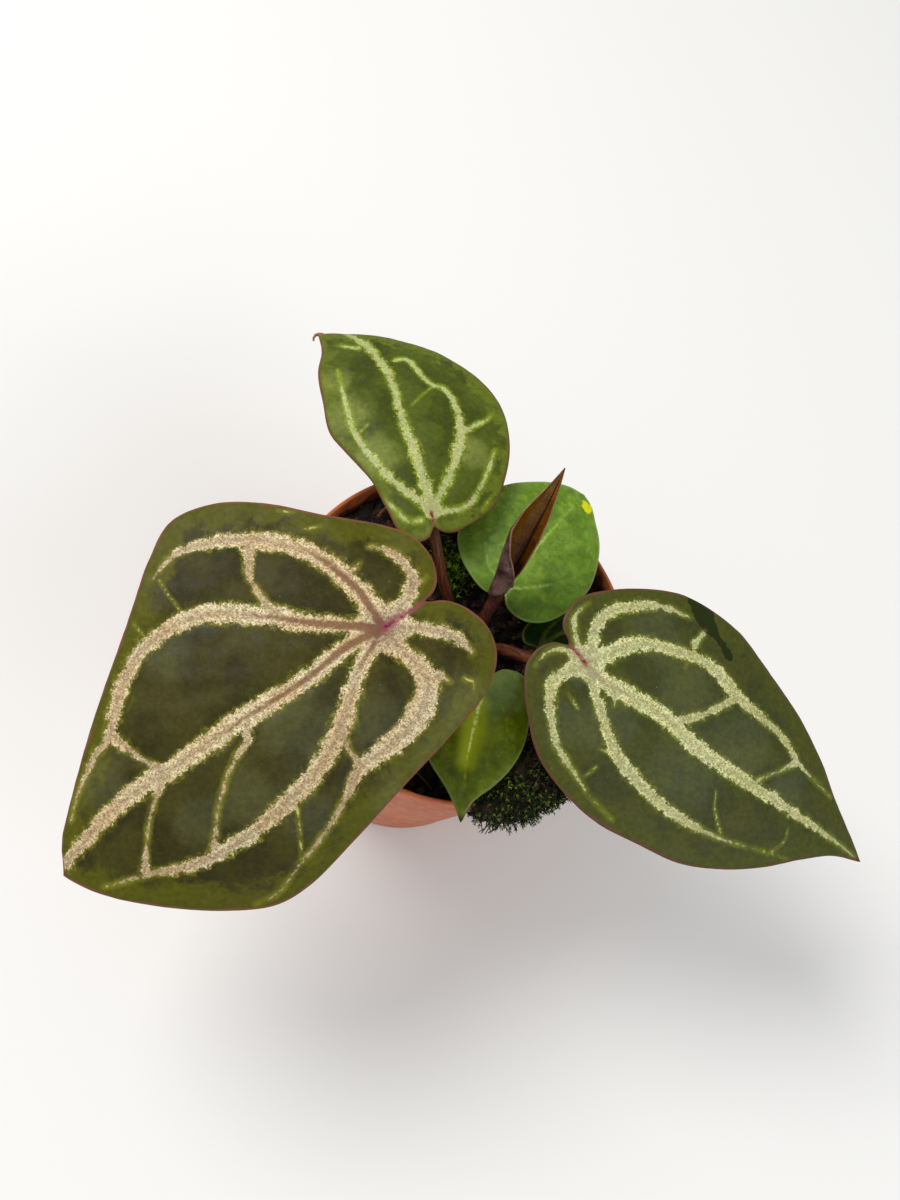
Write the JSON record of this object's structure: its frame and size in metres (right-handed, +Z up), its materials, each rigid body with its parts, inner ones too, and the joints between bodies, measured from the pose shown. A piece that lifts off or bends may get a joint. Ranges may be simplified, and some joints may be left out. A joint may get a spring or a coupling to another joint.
{
  "type": "potted plant",
  "caption": "Small potted foliage plant with heart-shaped pale-veined leaves on red stalks in a tapered terracotta-coloured nursery pot.",
  "frame": {"origin": "centre of the pot's underside, on the surface the pot stands on", "axes": "+Z up along the pot's axis, +X towards the plant's large right-hand leaf, -Y towards the front"},
  "size_m": [0.1752, 0.1335, 0.105],
  "materials": {
    "pot_plastic": "satin",
    "soil_mix": "matte",
    "stem_skin": "matte",
    "petiole_skin": "satin",
    "left_leaf": "satin",
    "right_leaf": "satin",
    "top_leaf": "satin",
    "round_leaf": "satin",
    "front_leaf": "satin",
    "new_leaf": "gloss",
    "moss": "matte",
    "dry_stalk": "matte"
  },
  "bodies": {
    "root": {"pot": "pot_plastic", "soil": "soil_mix", "stem": "stem_skin", "left_petiole": "petiole_skin", "left_blade": "left_leaf", "right_petiole": "petiole_skin", "right_blade": "right_leaf", "top_petiole": "petiole_skin", "top_blade": "top_leaf", "round_petiole": "petiole_skin", "round_blade": "round_leaf", "front_petiole": "petiole_skin", "front_blade": "front_leaf", "small_petiole": "petiole_skin", "small_blade": "front_leaf", "new_leaf_petiole": "petiole_skin", "new_leaf_blade": "new_leaf", "moss_cushion": "moss", "moss_shoots": "moss", "dry_stalk": "dry_stalk"}
  },
  "joints": []
}
